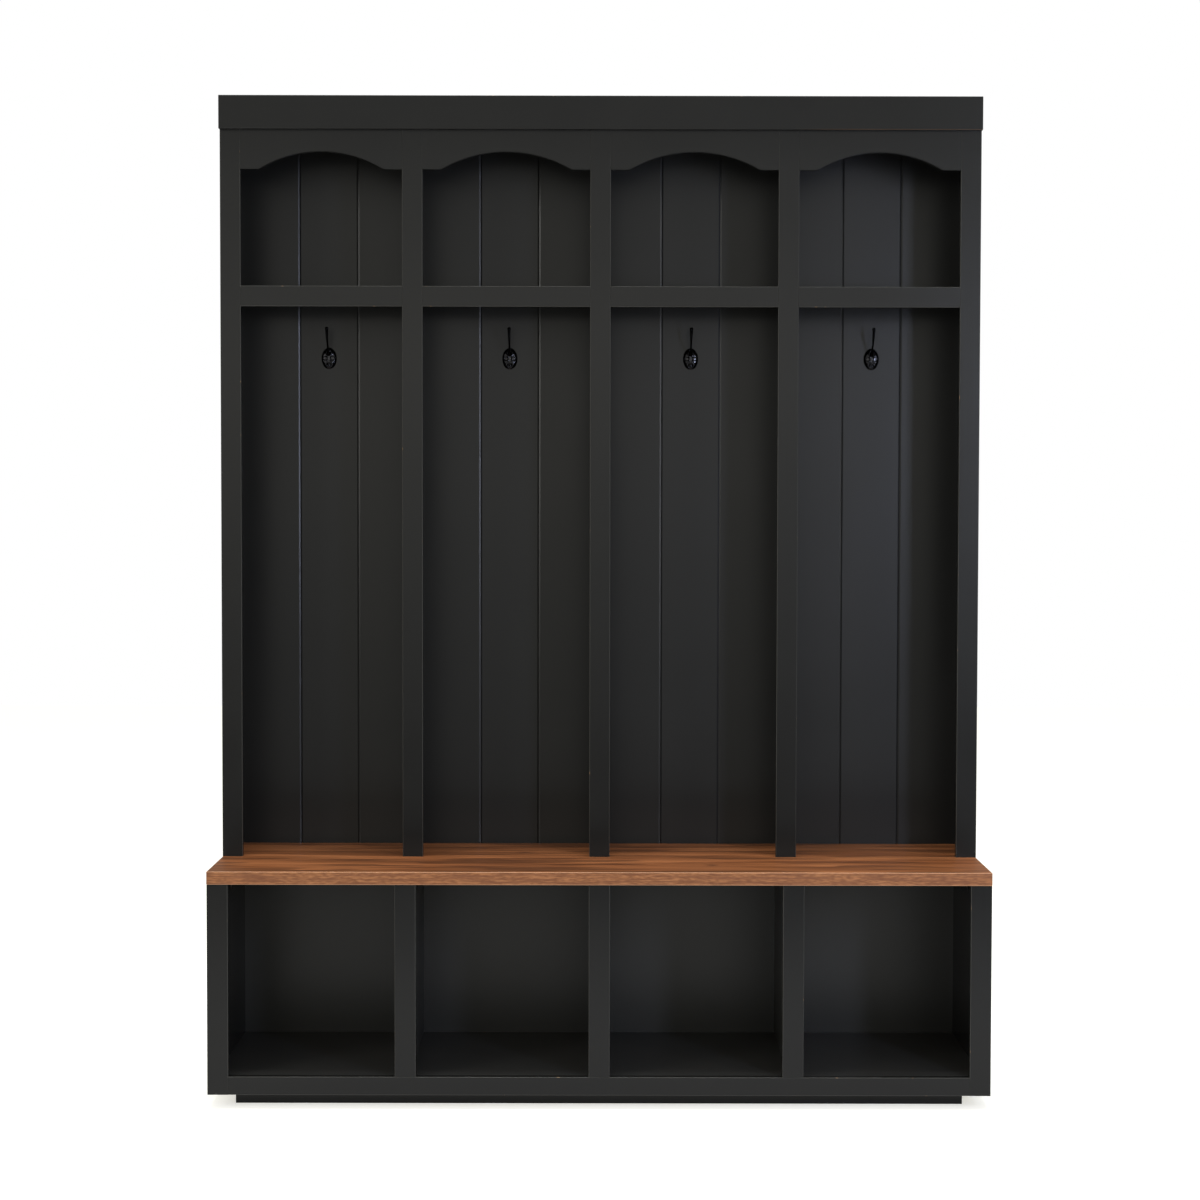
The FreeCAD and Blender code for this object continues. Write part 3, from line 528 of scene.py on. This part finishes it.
# Moulded polythene: dull black, with a fine spark-eroded texture about 1 mm wide that softens the gloss.
cap_plastic, tree = blank_material("black_polythene")
spark_width = 0.001
place = add(tree, "ShaderNodeTexCoord")
spark = add(tree, "ShaderNodeTexNoise", {
    "Vector": place.outputs["Object"], "Scale": 1 / spark_width, "Detail": 2.0})
tint = add(tree, "ShaderNodeMix", {
    "Factor": spark.outputs["Fac"], MIX_A: linear("#151515"), MIX_B: linear("#1b1b1b")}, data_type="RGBA")
cap_gloss = add(tree, "ShaderNodeMapRange", {"Value": spark.outputs["Fac"], "To Min": 0.42, "To Max": 0.58})
texture = add(tree, "ShaderNodeBump", {"Height": spark.outputs["Fac"], "Strength": 0.3, "Distance": 0.00005})
moulded = add(tree, "ShaderNodeBsdfPrincipled", {
    "Base Color": tint.outputs[MIXED],
    "Roughness": cap_gloss.outputs["Result"],
    "Specular IOR Level": 0.4,
    "Normal": texture.outputs["Normal"],
})
add(tree, "ShaderNodeOutputMaterial", {"Surface": moulded.outputs["BSDF"]})

mesh = bmesh.new()
for part, y, z in CAM_PLACES:
    for name in (f"{part}_side_left", *(f"{part}_partition_{index}" for index in INNER), f"{part}_side_right"):
        low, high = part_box(name)
        board_face, way = (low.x, -1) if name.endswith("right") else (high.x, 1)
        relief(mesh, CAP_RADIUS, CAP_RADIUS, cap_height, 10, 32,
               lambda u, v, out, x=board_face, way=way, y=y, z=z: (x + way * out, y + u, z + v))
new_piece("cam_caps", mesh, cap_plastic)


# Back screws: small zinc-plated pan heads that hold the backs to the rear edges of the uprights. They sit
# within the rebate that lets the backs in, so nothing stands out behind.
PAN_RADIUS = 0.003
PAN_INSET = 0.0039
HUTCH_SCREW_Z = (0.48, 0.77, 1.06, 1.35, 1.64, 1.925)
BASE_SCREW_Z = (0.05, 0.23, 0.41)


def pan_height(u, v, share):
    """Pan head with a cross recess."""
    narrow, wide = sorted((abs(u), abs(v)))
    head = 0.0012 * math.sqrt(max(0.0, 1 - share ** 4 * 0.9))
    return head - 0.0007 * smooth(0.0007, 0.0004, narrow) * smooth(0.0019, 0.0015, wide)


mesh = bmesh.new()
for names, heights in (([f"hutch_back_panel_{bay}" for bay in BAYS], HUTCH_SCREW_Z),
                       (["base_back_panel_left", "base_back_panel_right"], BASE_SCREW_Z)):
    for name in names:
        low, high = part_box(name)
        for x in (low.x + PAN_INSET, high.x - PAN_INSET):
            for z in heights:
                relief(mesh, PAN_RADIUS, PAN_RADIUS, pan_height, 8, 20,
                       lambda u, v, out, x=x, z=z, rear=high.y: (x - u, rear + out, z + v))
new_piece("back_screws", mesh, zinc)


# Floor: a roll of pale seamless paper under the hall tree. Part of its light is its own, so that it looks white
# to the camera; the rest is lit by the studio, so that it keeps the soft shadow under the plinth.
def background_rays(tree):
    """Gives the Light Path node, and a 1 for camera, glossy and transmission rays, which see the background."""
    rays = add(tree, "ShaderNodeLightPath")
    seen = add(tree, "ShaderNodeMath", {
        0: rays.outputs["Is Camera Ray"], 1: rays.outputs["Is Glossy Ray"]}, operation="MAXIMUM")
    seen_through = add(tree, "ShaderNodeMath", {
        0: seen.outputs["Value"], 1: rays.outputs["Is Transmission Ray"]}, operation="MAXIMUM")
    return rays, seen_through.outputs["Value"]


def lay_sheet(name, mesh, material):
    """Turns a mesh under construction into a sheet of the studio, which isn't part of the hall tree."""
    data = bpy.data.meshes.new(name)
    mesh.to_mesh(data)
    mesh.free()
    data.materials.append(material)
    sheet = bpy.data.objects.new(name, data)
    bpy.context.scene.collection.objects.link(sheet)
    return sheet


# Matt white paper: it glows a little for rays that see it as background, and more for the camera.
paper, tree = blank_material("white_paper")
paper_glow, camera_glow = 0.36, 0.24
rays, sees_background = background_rays(tree)
shine = add(tree, "ShaderNodeMath", {0: sees_background, 1: paper_glow}, operation="MULTIPLY")
glow = add(tree, "ShaderNodeMath", {
    0: rays.outputs["Is Camera Ray"], 1: camera_glow, 2: shine.outputs["Value"]}, operation="MULTIPLY_ADD")
light = add(tree, "ShaderNodeEmission", {"Color": linear("#fffdf4"), "Strength": glow.outputs["Value"]})
matt = add(tree, "ShaderNodeBsdfDiffuse", {"Color": linear("#e4e4e4")})
both = add(tree, "ShaderNodeAddShader", {0: light.outputs["Emission"], 1: matt.outputs["BSDF"]})
add(tree, "ShaderNodeOutputMaterial", {"Surface": both.outputs["Shader"]})

mesh = bmesh.new()
bmesh.ops.create_grid(mesh, x_segments=1, y_segments=1, size=9.0)
lay_sheet("studio_floor", mesh, paper)


# Studio: a white room. The lacquer mirrors it, so it is dimmer overhead and behind the hall tree, where a real
# studio has its ceiling and rear wall. Its walls are a warm white; the camera sees them plain white.
REAR_WALL, CEILING, FILL = 0.12, 0.72, 0.6
world = bpy.data.worlds.new("white_studio")
world.use_nodes = True
tree = world.node_tree
tree.nodes.clear()
rays, sees_background = background_rays(tree)
place = add(tree, "ShaderNodeTexCoord")
heading = add(tree, "ShaderNodeSeparateXYZ", {"Vector": place.outputs["Generated"]})
behind = add(tree, "ShaderNodeMapRange", {
    "Value": heading.outputs["Y"], "From Min": 0.6, "From Max": 0.95, "To Min": 1.0, "To Max": REAR_WALL})
above = add(tree, "ShaderNodeMapRange", {
    "Value": heading.outputs["Z"], "From Min": 0.08, "From Max": 0.2,
    "To Min": behind.outputs["Result"], "To Max": CEILING})
dimmest = add(tree, "ShaderNodeMath", {
    0: above.outputs["Result"], 1: behind.outputs["Result"]}, operation="MINIMUM")
mirrored = add(tree, "ShaderNodeMapRange", {
    "Value": rays.outputs["Is Camera Ray"], "To Min": dimmest.outputs["Value"], "To Max": 1.0})
level = add(tree, "ShaderNodeMapRange", {
    "Value": sees_background, "To Min": FILL, "To Max": mirrored.outputs["Result"]})
wall = add(tree, "ShaderNodeMix", {
    "Factor": rays.outputs["Is Camera Ray"], MIX_A: linear("#fffff7"), MIX_B: linear("#ffffff")},
    data_type="RGBA")
room = add(tree, "ShaderNodeBackground", {"Color": wall.outputs[MIXED], "Strength": level.outputs["Result"]})
add(tree, "ShaderNodeOutputWorld", {"Surface": room.outputs["Background"]})
bpy.context.scene.world = world


def softbox(name, place, target, width, height, watts, colour):
    """Adds a rectangular studio lamp that is turned to its target."""
    lamp = bpy.data.lights.new(name, "AREA")
    lamp.shape = "RECTANGLE"
    lamp.size = width
    lamp.size_y = height
    lamp.energy = watts
    lamp.color = linear(colour)[:3]
    stand = bpy.data.objects.new(name, lamp)
    stand.location = place
    stand.rotation_euler = (Vector(target) - Vector(place)).to_track_quat("-Z", "Y").to_euler()
    bpy.context.scene.collection.objects.link(stand)


softbox("softbox_left", (-3.2, -2.6, 1.9), (0, 0, 0.9), 1.2, 1.8, 50, "#fffdf8")
softbox("softbox_right", (1.9, -3.0, 1.45), (0.5, 0, 1.3), 0.3, 1.1, 43, "#d6e0ff")
softbox("softbox_side", (2.9, -2.6, 1.5), (0.2, 0.1, 1.3), 0.25, 1.6, 16, "#ffffff")
softbox("softbox_top", (0, -0.3, 4.2), (0, -0.3, 0.0), 2.6, 1.2, 98, "#ffffff")
softbox("softbox_front", (0, -6.2, 1.85), (0, 0, 1.2), 4.2, 0.5, 10, "#fffaf0")

# Dark studio floor in front of the paper: matt grey, and it only shapes the sheen on the lower part of the lacquer.
DARK_WIDTH, DARK_LENGTH, DARK_PLACE = 14.0, 6.9, (0, -5.55, 0.004)
dark, tree = blank_material("dark_studio_floor")
grey = add(tree, "ShaderNodeBsdfDiffuse", {"Color": linear("#45443e")})
add(tree, "ShaderNodeOutputMaterial", {"Surface": grey.outputs["BSDF"]})
mesh = bmesh.new()
bmesh.ops.create_grid(mesh, x_segments=1, y_segments=1, size=0.5,
                      matrix=Matrix.Translation(DARK_PLACE) @ Matrix.Diagonal((DARK_WIDTH, DARK_LENGTH, 1.0, 1.0)))
dark_floor = lay_sheet("studio_dark_floor", mesh, dark)
dark_floor.visible_camera = False
dark_floor.visible_diffuse = False
dark_floor.visible_shadow = False


# Camera: a long lens a little above the middle of the hall tree, nearly square to its front, as in the photo.
# Its place and turn were fitted to the edges of the stiles, rails, bench and cornice.
SENSOR_MM, FOCAL_PIXELS, FRAME_PIXELS = 36.0, 2361.97, 1200
CAMERA_PLACE = (-0.0041, -4.6797, 1.1528)
sight = bpy.data.cameras.new("camera")
sight.sensor_width = SENSOR_MM
sight.lens = SENSOR_MM * FOCAL_PIXELS / FRAME_PIXELS
pitch, yaw, roll = -0.03907, 0.00094, 0.00191
ahead = Vector((math.sin(yaw) * math.cos(pitch), math.cos(yaw) * math.cos(pitch), math.sin(pitch)))
right = Vector((math.cos(yaw), -math.sin(yaw), 0.0))
up = right.cross(ahead)
right, up = right * math.cos(roll) + up * math.sin(roll), up * math.cos(roll) - right * math.sin(roll)
camera = bpy.data.objects.new("camera", sight)
camera.matrix_world = Matrix.Translation(CAMERA_PLACE) @ Matrix((right, up, -ahead)).transposed().to_4x4()
bpy.context.scene.collection.objects.link(camera)
bpy.context.scene.camera = camera
bpy.context.scene.view_settings.view_transform = "Standard"
